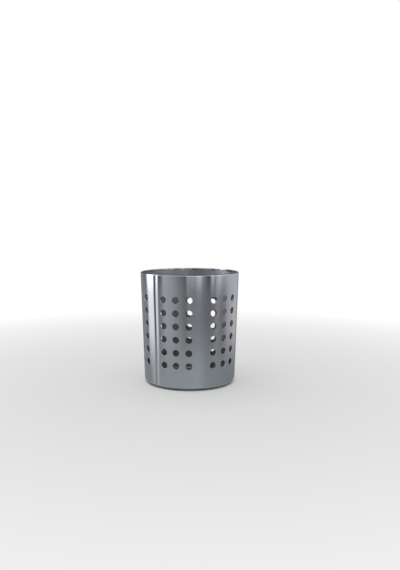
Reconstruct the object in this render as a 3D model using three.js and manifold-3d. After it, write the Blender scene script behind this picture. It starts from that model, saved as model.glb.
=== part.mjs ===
// A free-standing cutlery drainer: a round cup, deep drawn from one stainless blank, with a
// slight taper, a rounded lower corner, a folded rim, pierced wall and floor, and four
// push-in feet that keep it just off the counter.
// Millimetres, +Z up. The origin is on the counter, under the middle of the floor, and the
// middle of one group of wall holes faces -Y.
import * as THREE from 'three';
import { mergeVertices } from 'three/addons/utils/BufferGeometryUtils.js';
import Module from 'manifold-3d';

const wasm = await Module();
wasm.setup();

// Cup: driving dimensions
const rimDiameter = 120; // outside, at the rim
const baseDiameter = 111; // outside, where the line of the wall meets the underside
const totalHeight = 135; // counter to the top of the rim
const cornerRadius = 4.5; // outside, between floor and wall
const sheet = 0.6; // thickness of the steel

// Rim: the edge of the wall is folded inwards and pressed nearly flat against it
const hemGap = 0.3; // between the wall and the folded edge
const hemFlat = 1.8; // straight part of the folded edge, below the bend

// Wall holes: equal groups of columns, with plain wall between the groups
const wallHole = 8; // diameter
const holePitch = 15.4; // between centres, down a column and around the wall
const rimToHoles = 28.4; // top of the rim down to the centres of the first row
const counterToHoles = 29.6; // counter up to the centres of the last row
const holeGroups = 6;
const groupColumns = 3;

// Floor holes: one in the middle and even rings around it
const drainHole = 8; // diameter
const drainPitch = 15.4; // between rings
const drainMargin = 2; // least steel between a drain hole and the pad of a foot
const firstRingHoles = 6; // each further ring has as many more

// Feet: each is one moulding, pushed through the floor from below
const footCount = 4;
const padDiameter = 10;
const padHeight = 1.2; // the underside of the cup stands this far off the counter
const padBevel = 0.4; // round the lower edge of the pad
const footInset = 8; // from the start of the corner's curve in to the centre of a foot
const footHole = 5; // diameter of the hole in the floor
const neckClearance = 0.3; // all round the neck, in its hole
const headOverhang = 0.8; // head beyond the edge of the hole, so that it holds
const headPlay = 0.2; // head above the floor
const headEdge = 0.5; // straight side of the head, below its dome
const headDome = 1.1; // rise of the dome
const slotWidth = 0.8; // slot that lets the head squeeze through the hole

// Cutting tools reach this far past what they cut
const overrun = 2;

// Steps of the round forms
const wallSteps = 60;
const cornerSteps = 4;
const bendSteps = 6;
const gapSteps = 2;
const holeSteps = 12;
const footSteps = 20;
const domeSteps = 3;

const steel = new THREE.MeshStandardMaterial({ color: 0xa3a6aa, roughness: 0.35, metalness: 1 });
const plastic = new THREE.MeshStandardMaterial({ color: 0x2e2f31, roughness: 0.6, metalness: 0 });

const downwards = -Math.PI / 2;

function arc(centre, radius, from, to, steps) {
  const points = [];
  for (let step = 0; step <= steps; step++) {
    const angle = from + ((to - from) * step) / steps;
    const turned = new THREE.Vector2(Math.cos(angle), Math.sin(angle));
    points.push(turned.multiplyScalar(radius).add(centre));
  }
  return points;
}

// A profile of radius and height, turned about +Z
function turn(profile, steps) {
  return new THREE.LatheGeometry(profile, steps).rotateX(Math.PI / 2);
}

function toSolid(geometry) {
  const bare = geometry.clone().deleteAttribute('normal').deleteAttribute('uv');
  const merged = mergeVertices(bare);
  const corners = merged.index.array;
  const kept = [];
  for (let i = 0; i < corners.length; i += 3) {
    const [a, b, c] = corners.slice(i, i + 3);
    // A profile that meets the axis leaves faces with no area there
    if (a !== b && b !== c && c !== a) kept.push(a, b, c);
  }
  const vertProperties = new Float32Array(merged.attributes.position.array);
  const triVerts = new Uint32Array(kept);
  return new wasm.Manifold(new wasm.Mesh({ numProp: 3, vertProperties, triVerts }));
}

function toMesh(name, solid, material) {
  const { vertProperties, triVerts } = solid.getMesh();
  const geometry = new THREE.BufferGeometry();
  geometry.setAttribute('position', new THREE.BufferAttribute(vertProperties, 3));
  geometry.setIndex(new THREE.BufferAttribute(triVerts, 1));
  const mesh = new THREE.Mesh(geometry, material);
  mesh.name = name;
  return mesh;
}

// Section of the cup. The line of the wall runs from the base diameter to touch the bend of
// the hem, and the corner's curve touches both that line and the underside.
const bendRadius = sheet + hemGap / 2;
const bendCentre = new THREE.Vector2(rimDiameter / 2 - bendRadius, totalHeight - bendRadius);
const wallFoot = new THREE.Vector2(baseDiameter / 2, padHeight);
const footToBend = bendCentre.clone().sub(wallFoot);
const wallTilt = Math.atan2(footToBend.x, footToBend.y) + Math.asin(bendRadius / footToBend.length());
const cornerSetback = (cornerRadius * (1 - Math.sin(wallTilt))) / Math.cos(wallTilt);
const cornerCentre = new THREE.Vector2(wallFoot.x - cornerSetback, padHeight + cornerRadius);
const floorRadius = cornerCentre.x;
const floorTop = padHeight + sheet;

function wallRadius(height) {
  return wallFoot.x + (height - padHeight) * Math.tan(wallTilt);
}

function cupSection() {
  const outwards = new THREE.Vector2(Math.cos(wallTilt), -Math.sin(wallTilt));
  const upwards = new THREE.Vector2(Math.sin(wallTilt), Math.cos(wallTilt));
  const cutEdge = bendCentre.clone().addScaledVector(upwards, -hemFlat);
  const outside = -wallTilt;
  const inside = outside + Math.PI;
  return [
    new THREE.Vector2(0, padHeight),
    ...arc(cornerCentre, cornerRadius, downwards, outside, cornerSteps),
    ...arc(bendCentre, bendRadius, outside, inside, bendSteps),
    cutEdge.clone().addScaledVector(outwards, -bendRadius),
    cutEdge.clone().addScaledVector(outwards, -hemGap / 2),
    ...arc(bendCentre, hemGap / 2, inside, outside, gapSteps),
    ...arc(cornerCentre, cornerRadius - sheet, outside, downwards, cornerSteps),
    new THREE.Vector2(0, floorTop),
  ];
}

// A punch with its point on +Y, which has the given diameter where it passes the origin.
// It tapers so little that a hole in the thin steel is as good as straight.
function makePunch(diameter) {
  const reach = rimDiameter / 2;
  const length = reach + overrun;
  const punch = new THREE.ConeGeometry(((diameter / 2) * length) / reach, length, holeSteps);
  return punch.translate(0, length / 2 - overrun, 0).rotateY(Math.PI / holeSteps);
}

// Each wall hole is pierced square to the wall. Rows are spread evenly over the height that
// the margins leave, as near to the pitch as whole rows allow.
function wallPunches() {
  const fieldHeight = totalHeight - rimToHoles - counterToHoles;
  const rows = 1 + Math.round(fieldHeight / holePitch);
  const rowPitch = fieldHeight / (rows - 1);
  const columnAngle = holePitch / wallRadius(counterToHoles + fieldHeight / 2);
  const punches = [];
  for (let row = 0; row < rows; row++) {
    const height = counterToHoles + row * rowPitch;
    const punch = makePunch(wallHole).rotateX(wallTilt).translate(0, -wallRadius(height), height);
    for (let group = 0; group < holeGroups; group++) {
      for (let column = 0; column < groupColumns; column++) {
        const fromMiddle = column - (groupColumns - 1) / 2;
        const azimuth = (2 * Math.PI * group) / holeGroups + fromMiddle * columnAngle;
        punches.push(toSolid(punch.clone().rotateZ(azimuth)));
      }
    }
  }
  return punches;
}

// Floor holes are pierced straight down, from inside
function floorPunch(diameter, x, y) {
  return toSolid(makePunch(diameter).rotateX(downwards).translate(x, y, floorTop));
}

const footCircle = floorRadius - footInset;

function footAngle(number) {
  return (2 * Math.PI * (number + 1 / 2)) / footCount;
}

function drainPunches() {
  const room = footCircle - padDiameter / 2 - drainMargin - drainHole / 2;
  const rings = Math.floor(room / drainPitch);
  const punches = [floorPunch(drainHole, 0, 0)];
  for (let ring = 1; ring <= rings; ring++) {
    const count = ring * firstRingHoles;
    for (let hole = 0; hole < count; hole++) {
      const angle = (2 * Math.PI * hole) / count;
      const radius = ring * drainPitch;
      punches.push(floorPunch(drainHole, radius * Math.cos(angle), radius * Math.sin(angle)));
    }
  }
  return punches;
}

function footPunches() {
  const punches = [];
  for (let number = 0; number < footCount; number++) {
    const angle = footAngle(number);
    punches.push(floorPunch(footHole, footCircle * Math.cos(angle), footCircle * Math.sin(angle)));
  }
  return punches;
}

function makeCup() {
  const drawn = toSolid(turn(cupSection(), wallSteps));
  const punches = [...wallPunches(), ...drainPunches(), ...footPunches()];
  const pierced = punches.reduce((cup, punch) => cup.subtract(punch), drawn);
  return toMesh('drawn_cup', pierced, steel);
}

// Foot: a flat pad under the floor, a neck through it and a domed, slotted head above it
function makeFoot() {
  const padRadius = padDiameter / 2;
  const neckRadius = footHole / 2 - neckClearance;
  const headRadius = footHole / 2 + headOverhang;
  const headBottom = floorTop + headPlay;
  const domeBottom = headBottom + headEdge;
  const profile = [
    new THREE.Vector2(0, 0),
    new THREE.Vector2(padRadius - padBevel, 0),
    new THREE.Vector2(padRadius, padBevel),
    new THREE.Vector2(padRadius, padHeight),
    new THREE.Vector2(neckRadius, padHeight),
    new THREE.Vector2(neckRadius, headBottom),
    new THREE.Vector2(headRadius, headBottom),
  ];
  for (let step = 0; step <= domeSteps; step++) {
    const angle = (Math.PI * step) / (2 * domeSteps);
    const rise = headDome * Math.sin(angle);
    profile.push(new THREE.Vector2(headRadius * Math.cos(angle), domeBottom + rise));
  }
  profile.at(-1).x = 0;
  const slotDepth = domeBottom + headDome - floorTop;
  const slot = new THREE.BoxGeometry(2 * (headRadius + overrun), slotWidth, 2 * slotDepth);
  slot.translate(0, 0, floorTop + slotDepth);
  return toSolid(turn(profile, footSteps)).subtract(toSolid(slot));
}

const part = new THREE.Group();
part.add(makeCup());

const foot = makeFoot();
for (let number = 0; number < footCount; number++) {
  const mesh = toMesh(`foot_${number + 1}`, foot, plastic);
  const angle = footAngle(number);
  mesh.position.set(footCircle * Math.cos(angle), footCircle * Math.sin(angle), 0);
  mesh.rotation.z = angle;
  part.add(mesh);
}

export default part;
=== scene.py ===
import math

import bmesh
import bpy
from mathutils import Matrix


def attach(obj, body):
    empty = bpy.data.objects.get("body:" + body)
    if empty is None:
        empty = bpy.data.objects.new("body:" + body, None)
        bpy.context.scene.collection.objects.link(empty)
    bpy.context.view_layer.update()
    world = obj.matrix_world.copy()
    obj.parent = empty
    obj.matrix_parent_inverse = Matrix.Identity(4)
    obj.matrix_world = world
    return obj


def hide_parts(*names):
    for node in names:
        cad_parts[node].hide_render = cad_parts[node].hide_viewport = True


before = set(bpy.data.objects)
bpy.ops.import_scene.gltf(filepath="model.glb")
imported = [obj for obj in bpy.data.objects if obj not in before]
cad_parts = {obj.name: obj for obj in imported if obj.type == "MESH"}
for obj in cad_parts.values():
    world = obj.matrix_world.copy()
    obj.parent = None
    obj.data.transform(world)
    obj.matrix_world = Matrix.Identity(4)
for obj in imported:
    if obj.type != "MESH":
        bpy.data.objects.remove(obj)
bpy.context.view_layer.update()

# Camera. It stands a little above the rim and looks slightly down at the drainer, with no roll.
# The drainer sits left of the middle of the frame, hence the shift.
quarter_turn = math.radians(90)
camera_azimuth = math.radians(16.21)  # round from the middle of a group of holes
camera_pitch = math.radians(6.0)  # below the horizon
camera_distance = 0.7596  # to the axis of the cup
camera_height = 0.1983
camera_lens = 39.27  # millimetres
camera_shift = 0.0181  # share of the frame's longer side

bpy.ops.object.camera_add(
    location=(
        camera_distance * math.sin(camera_azimuth),
        -camera_distance * math.cos(camera_azimuth),
        camera_height,
    ),
    rotation=(quarter_turn - camera_pitch, 0, camera_azimuth),
)
camera = bpy.context.object
camera.name = "camera"
camera.data.lens = camera_lens
camera.data.shift_x = camera_shift
bpy.context.scene.camera = camera

# Drawn cup. A round blank of 0.6 mm stainless steel is deep drawn to a slightly tapered cup,
# pierced through its wall and floor, brushed round and round while it spins, and its edge is
# folded inwards. It starts here as one pierced cell of the flat pattern.
hole_radius = 0.004
hole_points = 32
hole_pitch = 0.0154
cell_rings = (1.08, 1.13, 1.16, 1.15)  # growth of each ring round a hole
join_distance = 1e-5  # points nearer than this count as one


def select_vertices(piece, wanted):
    """In edit mode, selects the vertices whose place is wanted, and nothing else."""
    bpy.ops.mesh.select_mode(type="VERT")
    bpy.ops.mesh.select_all(action="DESELECT")
    shape = bmesh.from_edit_mesh(piece.data)
    for vertex in shape.verts:
        vertex.select_set(wanted(vertex.co))
    shape.select_flush(True)
    bmesh.update_edit_mesh(piece.data)


def grow_ring(grow, centre=(0, 0, 0), rise=(0, 0, 0)):
    """Extrudes the selected loop, grows it about a centre and then moves it."""
    bpy.ops.mesh.extrude_edges_move()
    bpy.ops.transform.resize(value=grow, center_override=centre)
    bpy.ops.transform.translate(value=rise)


def apply_modifier(piece, kind, **settings):
    """Adds a modifier to the active piece, sets it and applies it."""
    modifier = piece.modifiers.new(kind.lower(), kind)
    for setting, value in settings.items():
        setattr(modifier, setting, value)
    bpy.ops.object.modifier_apply(modifier=modifier.name)


def repeat(piece, count, step):
    """Repeats the active piece in a row, with what touches joined."""
    apply_modifier(
        piece,
        "ARRAY",
        count=count,
        use_relative_offset=False,
        use_constant_offset=True,
        constant_offset_displace=step,
        use_merge_vertices=True,
        merge_threshold=join_distance,
    )


bpy.ops.object.select_all(action="DESELECT")
bpy.ops.mesh.primitive_circle_add(
    vertices=hole_points, radius=hole_radius, rotation=(quarter_turn, 0, 0)
)
cup = bpy.context.object
cup.name = "brushed_cup"
bpy.ops.object.transform_apply(rotation=True)
bpy.ops.object.mode_set(mode="EDIT")
bpy.ops.mesh.select_all(action="SELECT")
for grow in cell_rings:
    grow_ring((grow, 1, grow))

# One more ring is pushed out to the square of the cell.
bpy.ops.mesh.extrude_edges_move()
cell = bmesh.from_edit_mesh(cup.data)
for point in [vertex for vertex in cell.verts if vertex.select]:
    angle = math.atan2(point.co.z, point.co.x)
    side = quarter_turn * round(angle / quarter_turn)
    along = (angle - side) / (quarter_turn / 2)
    point.co.x = hole_pitch / 2 * (math.cos(side) - along * math.sin(side))
    point.co.z = hole_pitch / 2 * (math.sin(side) + along * math.cos(side))
bmesh.update_edit_mesh(cup.data)
bpy.ops.object.mode_set(mode="OBJECT")

# Flat pattern of the wall: groups of 3 by 6 holes with a plain strip beside each, and plain
# bands above and below. Its height is set by the corner and the rim that it runs into.
rim_radius = 0.060  # outside
base_radius = 0.0555  # outside, where the line of the wall meets the underside
total_height = 0.135
underside = 0.0012  # above the ground, on the feet
corner_radius = 0.0045  # outside
rim_bend = 0.00075  # outside radius of the fold at the rim
hole_columns = 3
hole_rows = 6
hole_groups = 6
first_row = 0.0296
last_row = 0.1066
strip_steps = 8
band_steps = 4

bend_x = rim_radius - rim_bend
bend_z = total_height - rim_bend
wall_run = bend_x - base_radius
wall_rise = bend_z - underside
wall_tilt = math.atan2(wall_run, wall_rise) + math.asin(rim_bend / math.hypot(wall_run, wall_rise))
wall_slope = math.tan(wall_tilt)
corner_x = base_radius - corner_radius * (1 - math.sin(wall_tilt)) / math.cos(wall_tilt)
wall_bottom = underside + corner_radius - corner_radius * math.sin(wall_tilt)
wall_top = bend_z - rim_bend * math.sin(wall_tilt)
middle_row = (first_row + last_row) / 2
middle_radius = base_radius + (middle_row - underside) * wall_slope
group_width = 2 * math.pi * middle_radius / hole_groups
group_edge = hole_pitch * hole_columns / 2
field_half = (last_row - first_row + hole_pitch) / 2


def extend(piece, wanted, reach, steps):
    """In edit mode, extrudes the vertices whose place is wanted, over a reach in even steps."""
    select_vertices(piece, wanted)
    for _ in range(steps):
        bpy.ops.mesh.extrude_edges_move()
        bpy.ops.transform.translate(value=[length / steps for length in reach])


repeat(cup, hole_columns, (hole_pitch, 0, 0))
repeat(cup, hole_rows, (0, 0, hole_pitch))
bpy.ops.object.mode_set(mode="EDIT")
bpy.ops.mesh.select_all(action="SELECT")
bpy.ops.transform.translate(
    value=(-hole_pitch * (hole_columns - 1) / 2, 0, -(last_row - first_row) / 2)
)
extend(
    cup,
    lambda place: place.x > group_edge - join_distance,
    (group_width - 2 * group_edge, 0, 0),
    strip_steps,
)
extend(
    cup,
    lambda place: place.z > field_half - join_distance,
    (0, 0, wall_top - middle_row - field_half),
    band_steps,
)
extend(
    cup,
    lambda place: place.z < join_distance - field_half,
    (0, 0, wall_bottom - middle_row + field_half),
    band_steps,
)
bpy.ops.object.mode_set(mode="OBJECT")
repeat(cup, hole_groups, (group_width, 0, 0))

# Wall: the pattern is bent into a closed ring and widened upwards, to the taper that lets a
# drawn cup leave its die.
apply_modifier(
    cup, "SIMPLE_DEFORM", deform_method="BEND", deform_axis="Z", angle=2 * math.pi
)
bpy.ops.object.mode_set(mode="EDIT")
bpy.ops.mesh.select_all(action="SELECT")
bpy.ops.transform.translate(value=(0, -middle_radius, 0))
bpy.ops.mesh.remove_doubles(threshold=join_distance)
bpy.ops.object.mode_set(mode="OBJECT")
apply_modifier(
    cup,
    "SIMPLE_DEFORM",
    deform_method="TAPER",
    deform_axis="Z",
    factor=wall_slope * (wall_top - wall_bottom) / middle_radius,
)
bpy.ops.object.mode_set(mode="EDIT")
bpy.ops.mesh.select_all(action="SELECT")
bpy.ops.transform.translate(value=(0, 0, middle_row))

# Rim: the edge of the wall turns inwards round a small bend, down to the cut edge of the fold.
# Corner: the wall turns under to the flat floor.
rim_steps = 8
corner_steps = 8
fold_depth = 0.0018  # straight part of the fold, below the bend
floor_margin = 0.001  # plain ring of floor inside the corner


def turn_edge(centre_x, radius, start, end, steps):
    """Extrudes the selected ring of the cup along an arc, angles measured up from outwards."""
    for step in range(steps):
        before, after = (start + (end - start) * (step + ahead) / steps for ahead in (0, 1))
        grow = (centre_x + radius * math.cos(after)) / (centre_x + radius * math.cos(before))
        rise = radius * (math.sin(after) - math.sin(before))
        grow_ring((grow, grow, 1), rise=(0, 0, rise))


select_vertices(cup, lambda place: place.z > wall_top - join_distance)
turn_edge(bend_x, rim_bend, -wall_tilt, math.pi - wall_tilt, rim_steps)
fold_top = bend_x - rim_bend * math.cos(wall_tilt)
fold_grow = (fold_top - fold_depth * math.sin(wall_tilt)) / fold_top
grow_ring((fold_grow, fold_grow, 1), rise=(0, 0, -fold_depth * math.cos(wall_tilt)))
select_vertices(cup, lambda place: place.z < wall_bottom + join_distance)
turn_edge(corner_x, corner_radius, -wall_tilt, -quarter_turn, corner_steps)
floor_grow = (corner_x - floor_margin) / corner_x
grow_ring((floor_grow, floor_grow, 1))

# Floor: round drain holes in rings about a middle one, and four smaller holes for the feet,
# each with a narrow ring of steel drawn round it before the rest is filled in.
drain_pitch = 0.0154
drain_rings = 2
first_ring_holes = 6
foot_hole = 0.0025  # radius
foot_inset = 0.008  # from the start of the corner's curve in to the centre of a foot
foot_count = 4
hole_border = 0.0004  # width of the ring round each hole

foot_circle = corner_x - foot_inset
foot_places = [
    (foot_circle * math.cos(turn), foot_circle * math.sin(turn), turn)
    for turn in (quarter_turn * (number + 0.5) for number in range(foot_count))
]
floor_holes = [(0, 0, hole_radius)]
for ring in range(1, drain_rings + 1):
    for hole in range(ring * first_ring_holes):
        turn = 2 * math.pi * hole / (ring * first_ring_holes)
        place = (ring * drain_pitch * math.cos(turn), ring * drain_pitch * math.sin(turn))
        floor_holes.append((*place, hole_radius))
floor_holes += [(x, y, foot_hole) for x, y, turn in foot_places]

for x, y, radius in floor_holes:
    bpy.ops.mesh.select_all(action="DESELECT")
    bpy.ops.mesh.primitive_circle_add(
        vertices=hole_points, radius=radius, location=(x, y, underside)
    )
    border = 1 + hole_border / radius
    grow_ring((border, border, 1), centre=(x, y, underside))


def on_floor_edge(place):
    """Says whether a point lies on a border round a floor hole or on the floor's outer ring."""
    if abs(place.z - underside) > join_distance:
        return False
    if abs(math.hypot(place.x, place.y) - corner_x + floor_margin) < join_distance:
        return True
    return any(
        abs(math.hypot(place.x - x, place.y - y) - radius - hole_border) < join_distance
        for x, y, radius in floor_holes
    )


select_vertices(cup, on_floor_edge)
bpy.ops.mesh.fill()
bpy.ops.mesh.select_all(action="SELECT")
bpy.ops.mesh.normals_make_consistent(inside=False)
bpy.ops.object.mode_set(mode="OBJECT")

# The single skin gets the thickness of the sheet, inwards, and its pierced and cut edges lose
# their burr. The inside keeps the satin of the rolled sheet, and the punch leaves clean edges.
sheet = 0.0006
deburr = 0.00013
deburr_steps = 3
sharp_angle = math.radians(60)  # an edge that turns further than this is sharp
cup_smooth_angle = math.radians(50)  # an edge that turns less than this is shaded smooth
square_on = 0.999  # a face with this cosine to a direction counts as square to it

steel_outside = bpy.data.materials.new("steel_brushed_round")
steel_inside = bpy.data.materials.new("steel_satin_inside")
steel_edge = bpy.data.materials.new("steel_pierced_edge")
for finish in (steel_outside, steel_inside, steel_edge):
    cup.data.materials.append(finish)
outside, inside, edge = range(3)  # their places on the cup
apply_modifier(
    cup,
    "SOLIDIFY",
    thickness=sheet,
    offset=-1,
    use_even_offset=True,
    material_offset=inside,
    material_offset_rim=edge,
)
apply_modifier(
    cup,
    "BEVEL",
    width=deburr,
    segments=deburr_steps,
    limit_method="ANGLE",
    angle_limit=sharp_angle,
)
bpy.ops.object.shade_smooth_by_angle(angle=cup_smooth_angle)


def square_to_wall(place):
    """Gives the direction straight out of the wall at a place on it."""
    out = (place.to_2d().normalized() * math.cos(wall_tilt)).to_3d()
    out.z = -math.sin(wall_tilt)
    return out


# The drawn wall is truly round, so between its holes it is shaded as one smooth cone.
wall_shading = {}
for face in cup.data.polygons:
    facing = face.normal.dot(square_to_wall(face.center))
    if wall_bottom < face.center.z < wall_top and abs(facing) > square_on:
        for point in face.vertices:
            straight_out = square_to_wall(cup.data.vertices[point].co)
            wall_shading[point] = straight_out * math.copysign(1, facing)
cup.data.normals_split_custom_set(
    [
        wall_shading.get(corner.vertex_index, shading.vector)
        for corner, shading in zip(cup.data.loops, cup.data.corner_normals)
    ]
)

# The underside keeps the satin of the inside.
for face in cup.data.polygons:
    if face.material_index == outside and face.normal.z < -square_on:
        face.material_index = inside

# Brushed steel: long fine lines round the cup, fainter broad bands, a little smearing from hands
# and cloths, and a painted highlight: the rim fold is painted a brighter steel colour.
brush_stretch = 0.95  # how far the brushing draws a reflection out across its lines
brush_turn = 0.25  # of a full turn, so that the lines run round the cup
line_scale = (14, 14, 4500)  # per metre: long round the cup and fine up its wall
band_scale = (4, 4, 420)
smear_scale = (45, 45, 28)
line_colours = ((0.395, 0.424, 0.448), (0.427, 0.458, 0.484))
band_colour = (0.452, 0.484, 0.510)
band_share = 0.35
# painted highlight: this brighter steel colour over the rim fold stands in for its highlight
rim_highlight_colour = (0.50, 0.53, 0.555)
rim_highlight_heights = (wall_top - 0.0004, wall_top + 0.0002)
line_roughness = (0.085, 0.115)
smear_roughness = 0.03
line_relief = 0.000002


def start_finish(material, settings):
    """Gives a material's nodes and its main shader, with what is the same all over set on it."""
    material.use_nodes = True
    tree = material.node_tree
    shader = tree.nodes["Principled BSDF"]
    for socket, value in settings.items():
        shader.inputs[socket].default_value = value
    return tree, shader


def grain(tree, scale, detail):
    """Gives the level of a noise whose scale along x, y and z is per metre."""
    place = tree.nodes.new("ShaderNodeTexCoord")
    mapping = tree.nodes.new("ShaderNodeMapping")
    mapping.inputs["Scale"].default_value = scale
    noise = tree.nodes.new("ShaderNodeTexNoise")
    noise.inputs["Scale"].default_value = 1
    noise.inputs["Detail"].default_value = detail
    tree.links.new(place.outputs["Object"], mapping.inputs["Vector"])
    tree.links.new(mapping.outputs["Vector"], noise.inputs["Vector"])
    return noise.outputs["Fac"]


def spread(tree, level, low, high, start=0.3, end=0.7):
    """Spreads a level over a range of values. A noise lies mostly between 0.3 and 0.7."""
    node = tree.nodes.new("ShaderNodeMapRange")
    node.inputs["From Min"].default_value = start
    node.inputs["From Max"].default_value = end
    node.inputs["To Min"].default_value = low
    node.inputs["To Max"].default_value = high
    tree.links.new(level, node.inputs["Value"])
    return node.outputs["Result"]


def height_share(tree, start, end):
    """Gives a level that goes from 0 at one height of the piece to 1 at another."""
    place = tree.nodes.new("ShaderNodeTexCoord")
    parts = tree.nodes.new("ShaderNodeSeparateXYZ")
    tree.links.new(place.outputs["Object"], parts.inputs["Vector"])
    return spread(tree, parts.outputs["Z"], 0, 1, start, end)


def blend(tree, share, first, second):
    """Mixes two colours, each a colour or an output, by a share."""
    mix = tree.nodes.new("ShaderNodeMix")
    mix.data_type = "RGBA"
    tree.links.new(share, mix.inputs["Factor"])
    for socket, colour in (("A", first), ("B", second)):
        if isinstance(colour, tuple):
            mix.inputs[socket].default_value = (*colour, 1)
        else:
            tree.links.new(colour, mix.inputs[socket])
    return mix.outputs["Result"]


def combine(tree, operation, first, second):
    """Combines two outputs, or an output and a number, by an operation."""
    node = tree.nodes.new("ShaderNodeMath")
    node.operation = operation
    tree.links.new(first, node.inputs[0])
    if isinstance(second, float):
        node.inputs[1].default_value = second
    else:
        tree.links.new(second, node.inputs[1])
    return node.outputs["Value"]


def raise_grain(tree, shader, level, height):
    """Gives the shader a bump of the given height in metres."""
    bump = tree.nodes.new("ShaderNodeBump")
    bump.inputs["Distance"].default_value = height
    tree.links.new(level, bump.inputs["Height"])
    tree.links.new(bump.outputs["Normal"], shader.inputs["Normal"])


tree, shader = start_finish(
    steel_outside,
    {"Metallic": 1, "Anisotropic": brush_stretch, "Anisotropic Rotation": brush_turn},
)
tangent = tree.nodes.new("ShaderNodeTangent")
tangent.direction_type = "RADIAL"
tangent.axis = "Z"
tree.links.new(tangent.outputs["Tangent"], shader.inputs["Tangent"])
lines = grain(tree, line_scale, detail=4)
bands = grain(tree, band_scale, detail=3)
smears = grain(tree, smear_scale, detail=3)
# share of the painted highlight, over the rim fold
rim_highlight = height_share(tree, *rim_highlight_heights)
lined = blend(tree, spread(tree, lines, 0, 1), *line_colours)
banded = blend(tree, spread(tree, bands, 0, band_share), lined, band_colour)
tree.links.new(blend(tree, rim_highlight, banded, rim_highlight_colour), shader.inputs["Base Color"])
brushed = spread(tree, lines, *line_roughness)
smeared = combine(tree, "ADD", brushed, spread(tree, smears, 0, smear_roughness))
tree.links.new(smeared, shader.inputs["Roughness"])
raise_grain(tree, shader, lines, line_relief)

# Satin inside and underneath: the dull face of the rolled sheet, with marks down the wall where
# it was drawn over the punch. The floor, inside and under, is painted lighter, as painted light.
# The foot of the wall inside is painted darker, as painted shade, and is rougher where water
# dries.
mark_scale = (2400, 2400, 30)  # fine round the cup and long down its wall
streak_scale = (420, 420, 8)
cloud_scale = (45, 45, 45)
mark_colours = ((0.345, 0.357, 0.354), (0.405, 0.419, 0.416))
streak_colour = (0.43, 0.445, 0.445)
streak_share = 0.5
cloud_colour = (0.34, 0.352, 0.352)
cloud_share = 0.3
# painted shade: the foot of the wall inside is painted this darker colour
foot_shade_colour = (0.24, 0.25, 0.25)
# painted light: the floor, inside and under, is painted this lighter steel colour
floor_light_colour = (0.56, 0.575, 0.575)
floor_light_share = 0.5
dried_and_shade_heights = (0.016, 0.004)  # down the wall, from no painted shade or drying to full painted shade and drying
floor_light_heights = (0.0032, 0.0020)  # from the end of the corner's curve down to the floor
mark_roughness = (0.30, 0.42)
dried_roughness = 0.32
mark_relief = 0.000003

tree, shader = start_finish(steel_inside, {"Metallic": 1})
marks = grain(tree, mark_scale, detail=3)
streaks = grain(tree, streak_scale, detail=3)
clouds = grain(tree, cloud_scale, detail=1)
marked = blend(tree, spread(tree, marks, 0, 1), *mark_colours)
streaked = blend(tree, spread(tree, streaks, 0, streak_share), marked, streak_colour)
clouded = blend(tree, spread(tree, clouds, 0, cloud_share), streaked, cloud_colour)
# painted light over the floor, from the end of the corner's curve down
pressed = height_share(tree, *floor_light_heights)
# painted shade and drying: darker and rougher towards the foot of the wall inside, not on the
# floor
dried_and_shade = combine(tree, "SUBTRACT", height_share(tree, *dried_and_shade_heights), pressed)
foot_shaded = blend(tree, dried_and_shade, clouded, foot_shade_colour)
floor_lightened = blend(tree, spread(tree, pressed, 0, floor_light_share, 0, 1), foot_shaded, floor_light_colour)
tree.links.new(floor_lightened, shader.inputs["Base Color"])
drawn = spread(tree, marks, *mark_roughness)
crusted = combine(tree, "ADD", drawn, spread(tree, dried_and_shade, 0, dried_roughness, 0, 1))
tree.links.new(crusted, shader.inputs["Roughness"])
raise_grain(tree, shader, marks, mark_relief)

# Pierced edges: bright where the punch sheared the steel and torn duller where it broke through.
tear_scale = (5200, 5200, 5200)
tear_colours = ((0.36, 0.37, 0.38), (0.50, 0.51, 0.52))
tear_roughness = (0.24, 0.46)
tear_relief = 0.000006

tree, shader = start_finish(steel_edge, {"Metallic": 1})
tears = grain(tree, tear_scale, detail=3)
torn = blend(tree, spread(tree, tears, 0, 1), *tear_colours)
tree.links.new(torn, shader.inputs["Base Color"])
tree.links.new(spread(tree, tears, *tear_roughness), shader.inputs["Roughness"])
raise_grain(tree, shader, tears, tear_relief)

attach(cup, "root")
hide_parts("drawn_cup")

# Feet. Four small pads moulded in grey plastic, each pushed up through the floor from below: a
# slot across the domed head lets it squeeze through its hole and spring open above the floor.
pad_radius = 0.005
pad_round = 0.0004  # round the lower edge of the pad
pad_round_steps = 4
small_round = 0.0001  # round the upper edge of the pad and the lower edge of the head
small_round_steps = 2
neck_radius = 0.0022
head_radius = 0.0033
head_bottom = 0.0020
head_edge = 0.0005  # straight side of the head
head_dome = 0.0011
dome_steps = 8
slot_width = 0.0008
gate_radius = 0.0009  # dimple under the pad, where the plastic was fed in
gate_depth = 0.00015
foot_points = 64
mould_edge = 0.00005  # width by which every other edge is softened
mould_edge_steps = 2
foot_smooth_angle = math.radians(35)


def quarter_round(centre_radius, centre_height, across, up, start, steps):
    """Lists the points of a quarter of an ellipse, anticlockwise from the given angle."""
    turns = [start + quarter_turn * (step + 1) / steps for step in range(steps)]
    return [
        (centre_radius + across * math.cos(turn), centre_height + up * math.sin(turn))
        for turn in turns
    ]


def round_corner(radius, height, size, start, steps):
    """Lists the points of a quarter circle that goes out to a radius, about a height."""
    return quarter_round(radius - size, height, size, size, start, steps)


def pick(piece):
    """Makes a piece the active one, and the only one selected."""
    bpy.ops.object.select_all(action="DESELECT")
    piece.select_set(True)
    bpy.context.view_layer.objects.active = piece


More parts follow.
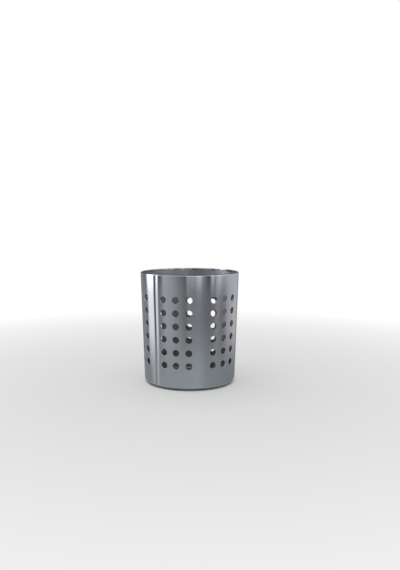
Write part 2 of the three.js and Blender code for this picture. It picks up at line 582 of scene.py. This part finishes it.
dome_bottom = head_bottom + head_edge
foot_profile = [
    (gate_radius, gate_depth),
    (gate_radius + gate_depth, 0),
    (pad_radius - pad_round, 0),
    *round_corner(pad_radius, pad_round, pad_round, -quarter_turn, pad_round_steps),
    (pad_radius, underside - small_round),
    *round_corner(pad_radius, underside - small_round, small_round, 0, small_round_steps),
    (neck_radius, underside),
    (neck_radius, head_bottom),
    (head_radius - small_round, head_bottom),
    *round_corner(
        head_radius, head_bottom + small_round, small_round, -quarter_turn, small_round_steps
    ),
    (head_radius, dome_bottom),
    *quarter_round(0, dome_bottom, head_radius, head_dome, 0, dome_steps)[:-1],
]
bpy.ops.object.select_all(action="DESELECT")
bpy.ops.mesh.primitive_circle_add(
    vertices=foot_points, radius=gate_radius, fill_type="NGON", location=(0, 0, gate_depth)
)
foot = bpy.context.object
foot.name = "moulded_foot_1"
bpy.ops.object.transform_apply(location=True)
bpy.ops.object.mode_set(mode="EDIT")
bpy.ops.mesh.select_mode(type="EDGE")
bpy.ops.mesh.select_all(action="SELECT")
for (radius, height), (next_radius, next_height) in zip(foot_profile, foot_profile[1:]):
    grow = next_radius / radius
    grow_ring((grow, grow, 1), rise=(0, 0, next_height - height))
bpy.ops.mesh.edge_face_add()
bpy.ops.mesh.select_all(action="SELECT")
bpy.ops.mesh.normals_make_consistent(inside=False)
bpy.ops.object.mode_set(mode="OBJECT")

slot_bottom = underside + sheet
slot_depth = dome_bottom + head_dome - slot_bottom
bpy.ops.mesh.primitive_cube_add(
    size=1,
    location=(0, 0, slot_bottom + slot_depth),
    scale=(2 * pad_radius, slot_width, 2 * slot_depth),
)
slot_cutter = bpy.context.object
bpy.context.view_layer.objects.active = foot
apply_modifier(foot, "BOOLEAN", operation="DIFFERENCE", object=slot_cutter, solver="EXACT")
bpy.data.objects.remove(slot_cutter)
apply_modifier(
    foot,
    "BEVEL",
    width=mould_edge,
    segments=mould_edge_steps,
    limit_method="ANGLE",
    angle_limit=sharp_angle,
)

# Moulded plastic: the fine rough skin of the mould over faint marks of its flow, worn paler where
# the pad slides on what it stands on.
skin_scale = (3800, 3800, 3800)
flow_scale = (260, 260, 260)
flow_colours = ((0.150, 0.155, 0.160), (0.180, 0.185, 0.190))
worn_colour = (0.215, 0.22, 0.225)
worn_heights = (0.0003, 0)
skin_gloss = 0.4
skin_roughness = (0.46, 0.64)
skin_relief = 0.000008

foot_plastic = bpy.data.materials.new("foot_moulded_plastic")
foot.data.materials.append(foot_plastic)
tree, shader = start_finish(foot_plastic, {"Specular IOR Level": skin_gloss})
skin = grain(tree, skin_scale, detail=3)
flow = grain(tree, flow_scale, detail=2)
worn = height_share(tree, *worn_heights)
moulded = blend(tree, spread(tree, flow, 0, 1), *flow_colours)
tree.links.new(blend(tree, worn, moulded, worn_colour), shader.inputs["Base Color"])
tree.links.new(spread(tree, skin, *skin_roughness), shader.inputs["Roughness"])
raise_grain(tree, shader, skin, skin_relief)

feet = [foot]
for number in range(2, foot_count + 1):
    pick(foot)
    bpy.ops.object.duplicate()
    copy = bpy.context.object
    copy.name = f"moulded_foot_{number}"
    feet.append(copy)
for number, (piece, (x, y, turn)) in enumerate(zip(feet, foot_places), start=1):
    pick(piece)
    piece.location = (x, y, 0)
    piece.rotation_euler = (0, 0, turn)
    bpy.ops.object.transform_apply()
    bpy.ops.object.shade_smooth_by_angle(angle=foot_smooth_angle)
    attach(piece, "root")
    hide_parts(f"foot_{number}")

# Studio. A pale floor that fades to white away from the drainer, under soft light from above and
# an even white surround. From below, the floor is clear and shows the underside.
floor_size = 30  # radius
floor_points = 128
floor_height = -0.00005  # just clear of the feet
floor_colour = (0.72, 0.72, 0.72)
floor_glow = (0.68, 0.68, 0.68)
white = (1.0, 1.0, 1.0)
shadow_fade = (0.0525, 0.0575)  # from the axis: the floor takes on half of its glow here
floor_fade = (0.10, 0.60)  # and the other half here, where it also turns white
fade_share = 0.5
window_radius = 0.0505  # of the clear part under the drainer, which lights its underside
window_reach = 0.006  # a ray passes it only if it comes from nearer than this
window_bounces = 1.5  # and has bounced no more than once
polish_radius = 0.0567  # beyond it the metal sees the cards below the floor
surround_light = 0.7  # strength of the surround as a light; seen directly it is 1, white
lamp_place = (-0.15, 0, 1.3)
lamp_size = 1.2  # across
lamp_power = 7  # watts


def seen_directly(tree):
    """Gives an output that is 1 for rays from the camera, a mirror or glass, and 0 for light."""
    path = tree.nodes.new("ShaderNodeLightPath").outputs
    mirrored = combine(tree, "MAXIMUM", path["Is Camera Ray"], path["Is Glossy Ray"])
    return combine(tree, "MAXIMUM", mirrored, path["Is Transmission Ray"])


def mix_shaders(tree, share, first, second):
    """Mixes two shaders by a share."""
    mix = tree.nodes.new("ShaderNodeMixShader")
    tree.links.new(share, mix.inputs["Fac"])
    tree.links.new(first, mix.inputs[1])
    tree.links.new(second, mix.inputs[2])
    return mix.outputs["Shader"]


bpy.ops.object.select_all(action="DESELECT")
bpy.ops.mesh.primitive_circle_add(
    vertices=floor_points, radius=floor_size, fill_type="NGON", location=(0, 0, floor_height)
)
studio_floor = bpy.context.object
studio_floor.name = "studio_floor"
bpy.ops.object.transform_apply(location=True)

floor_paint = bpy.data.materials.new("studio_floor")
studio_floor.data.materials.append(floor_paint)
tree, shader = start_finish(
    floor_paint,
    {"Base Color": (*floor_colour, 1), "Roughness": 1, "Specular IOR Level": 0},
)
place = tree.nodes.new("ShaderNodeTexCoord")
from_axis = tree.nodes.new("ShaderNodeVectorMath")
from_axis.operation = "LENGTH"
tree.links.new(place.outputs["Object"], from_axis.inputs[0])
distance = from_axis.outputs["Value"]
away = spread(tree, distance, 0, 1, *floor_fade)
past_shadow = spread(tree, distance, 0, fade_share, *shadow_fade)
past_fade = spread(tree, distance, 0, fade_share, *floor_fade)
glowing = combine(tree, "ADD", past_shadow, past_fade)
seen = combine(tree, "MULTIPLY", glowing, seen_directly(tree))
glow = tree.nodes.new("ShaderNodeEmission")
tree.links.new(blend(tree, away, floor_glow, white), glow.inputs["Color"])
lit_floor = mix_shaders(tree, seen, shader.outputs["BSDF"], glow.outputs["Emission"])

path = tree.nodes.new("ShaderNodeLightPath").outputs
close = combine(tree, "LESS_THAN", distance, window_radius)
short = combine(tree, "LESS_THAN", path["Ray Length"], window_reach)
first_bounce = combine(tree, "LESS_THAN", path["Ray Depth"], window_bounces)
window = combine(tree, "MULTIPLY", combine(tree, "MULTIPLY", close, short), first_bounce)
far = combine(tree, "GREATER_THAN", distance, polish_radius)
polish = combine(tree, "MULTIPLY", far, path["Is Glossy Ray"])
from_below = tree.nodes.new("ShaderNodeNewGeometry").outputs["Backfacing"]
openings = combine(tree, "MAXIMUM", window, polish)
clear_share = combine(tree, "MAXIMUM", openings, from_below)
clear = tree.nodes.new("ShaderNodeBsdfTransparent")
surface = mix_shaders(tree, clear_share, lit_floor, clear.outputs["BSDF"])
tree.links.new(surface, tree.nodes["Material Output"].inputs["Surface"])

world = bpy.data.worlds.new("studio")
bpy.context.scene.world = world
world.use_nodes = True
tree = world.node_tree
surround = tree.nodes["Background"]
surround.inputs["Color"].default_value = (*white, 1)
strength = spread(tree, seen_directly(tree), surround_light, 1, 0, 1)
tree.links.new(strength, surround.inputs["Strength"])

bpy.ops.object.light_add(type="AREA", location=lamp_place)
lamp = bpy.context.object
lamp.name = "overhead_light"
lamp.data.shape = "DISK"
lamp.data.size = lamp_size
lamp.data.energy = lamp_power
lamp.visible_glossy = False

# Reflection ring. Cards stand round the drainer, out of the picture, and only the metal shows
# them. They go on below the floor, where they stand for what its polish would mirror. Each row
# gives a card's bearing in degrees, 0 towards the camera and more to the right, and its light.
ring_radius = 0.36
ring_height = 0.45
ring_depth = 0.30  # below the floor
ring_points = 180
high_cards = (
    (-156, 0.25),
    (-141.5, 0.34),
    (-125, 0.26),
    (-113.5, 0.24),
    (-108.5, 4.0),
    (-87, 4.0),
    (-85.5, 0.0),
    (-79, 0.0),
    (-77.5, 4.0),
    (-74.5, 3.4),
    (-72, 0.0),
    (-65, 0.0),
    (-58, 0.85),
    (-22, 0.26),
    (-8, 0.14),
    (-5.5, 0.92),
    (13, 0.92),
    (17, 1.7),
    (24, 1.6),
    (27.5, 0.6),
    (35, 0.3),
    (38, 0.0),
    (44, 0.0),
    (48, 1.5),
    (52, 1.5),
    (56, 0.45),
    (61.5, 1.4),
    (69, 1.6),
    (79, 1.0),
    (110, 0.88),
    (141.5, 0.60),
    (156, 0.25),
)
low_cards = (
    (-156, 0.25),
    (-141.5, 0.36),
    (-110.5, 0.40),
    (-105.5, 1.5),
    (-88, 1.55),
    (-86, 0.06),
    (-82, 0.06),
    (-80, 1.45),
    (-76, 1.4),
    (-73, 0.3),
    (-66, 0.4),
    (-56, 0.66),
    (-35, 0.55),
    (-8, 0.25),
    (-5, 0.34),
    (20.5, 0.33),
    (40, 0.27),
    (52, 0.25),
    (62, 0.43),
    (76, 0.30),
    (88.5, 0.45),
    (95.5, 0.66),
    (125, 0.80),
    (141.5, 0.60),
    (156, 0.25),
)
floor_cards = (
    (-156, 0.28),
    (-141.5, 0.38),
    (-104, 0.43),
    (-99.5, 0.61),
    (-91.5, 0.66),
    (-89, 0.66),
    (-87, 0.34),
    (-85, 0.34),
    (-82.5, 0.75),
    (-78.5, 0.75),
    (-75, 0.53),
    (-20.5, 0.57),
    (20.5, 0.60),
    (40, 0.47),
    (109.5, 0.38),
    (156, 0.28),
)
high_tint = (0.99, 1.0, 1.07)
low_tint = (1.055, 1.0, 1.045)
floor_tint = (0.98, 1.0, 1.01)
floor_to_low = (-0.065, 0.005)  # heights over which one row of cards turns into the next
low_to_high = (0.063, 0.115)


def lay_cards(tree, bearing, cards, tint):
    """Spreads cards over a colour ramp by their bearing, tints them and gives the output."""
    ramp = tree.nodes.new("ShaderNodeValToRGB")
    stops = ramp.color_ramp.elements
    for stop, (turn, light) in enumerate(cards):
        card = stops[stop] if stop < 2 else stops.new(1)
        card.position = 0.5 + turn / 360
        card.color = (*(light * share for share in tint), 1)
    tree.links.new(bearing, ramp.inputs["Fac"])
    return ramp.outputs["Color"]


bpy.ops.object.select_all(action="DESELECT")
bpy.ops.mesh.primitive_cylinder_add(
    vertices=ring_points,
    radius=ring_radius,
    depth=ring_height + ring_depth,
    end_fill_type="NOTHING",
    location=(0, 0, (ring_height - ring_depth) / 2),
    rotation=(0, 0, camera_azimuth - quarter_turn),
)
ring = bpy.context.object
ring.name = "reflection_ring"
bpy.ops.object.transform_apply(location=True, rotation=False)
bpy.ops.object.mode_set(mode="EDIT")
select_vertices(ring, lambda place: place.z < 0)
bpy.ops.mesh.edge_face_add()
bpy.ops.object.mode_set(mode="OBJECT")
for rays in ("camera", "diffuse", "transmission", "volume_scatter", "shadow"):
    setattr(ring, f"visible_{rays}", False)

ring_light = bpy.data.materials.new("reflection_ring")
ring.data.materials.append(ring_light)
ring_light.use_nodes = True
tree = ring_light.node_tree
tree.nodes.remove(tree.nodes["Principled BSDF"])
place = tree.nodes.new("ShaderNodeTexCoord")
around = tree.nodes.new("ShaderNodeTexGradient")
around.gradient_type = "RADIAL"
tree.links.new(place.outputs["Object"], around.inputs["Vector"])
bearing = around.outputs["Fac"]
low_light = lay_cards(tree, bearing, low_cards, low_tint)
floor_light = lay_cards(tree, bearing, floor_cards, floor_tint)
high_light = lay_cards(tree, bearing, high_cards, high_tint)
lower = blend(tree, height_share(tree, *floor_to_low), floor_light, low_light)
whole = blend(tree, height_share(tree, *low_to_high), lower, high_light)
glow = tree.nodes.new("ShaderNodeEmission")
tree.links.new(whole, glow.inputs["Color"])
tree.links.new(glow.outputs["Emission"], tree.nodes["Material Output"].inputs["Surface"])

bpy.context.scene.view_settings.view_transform = "Standard"
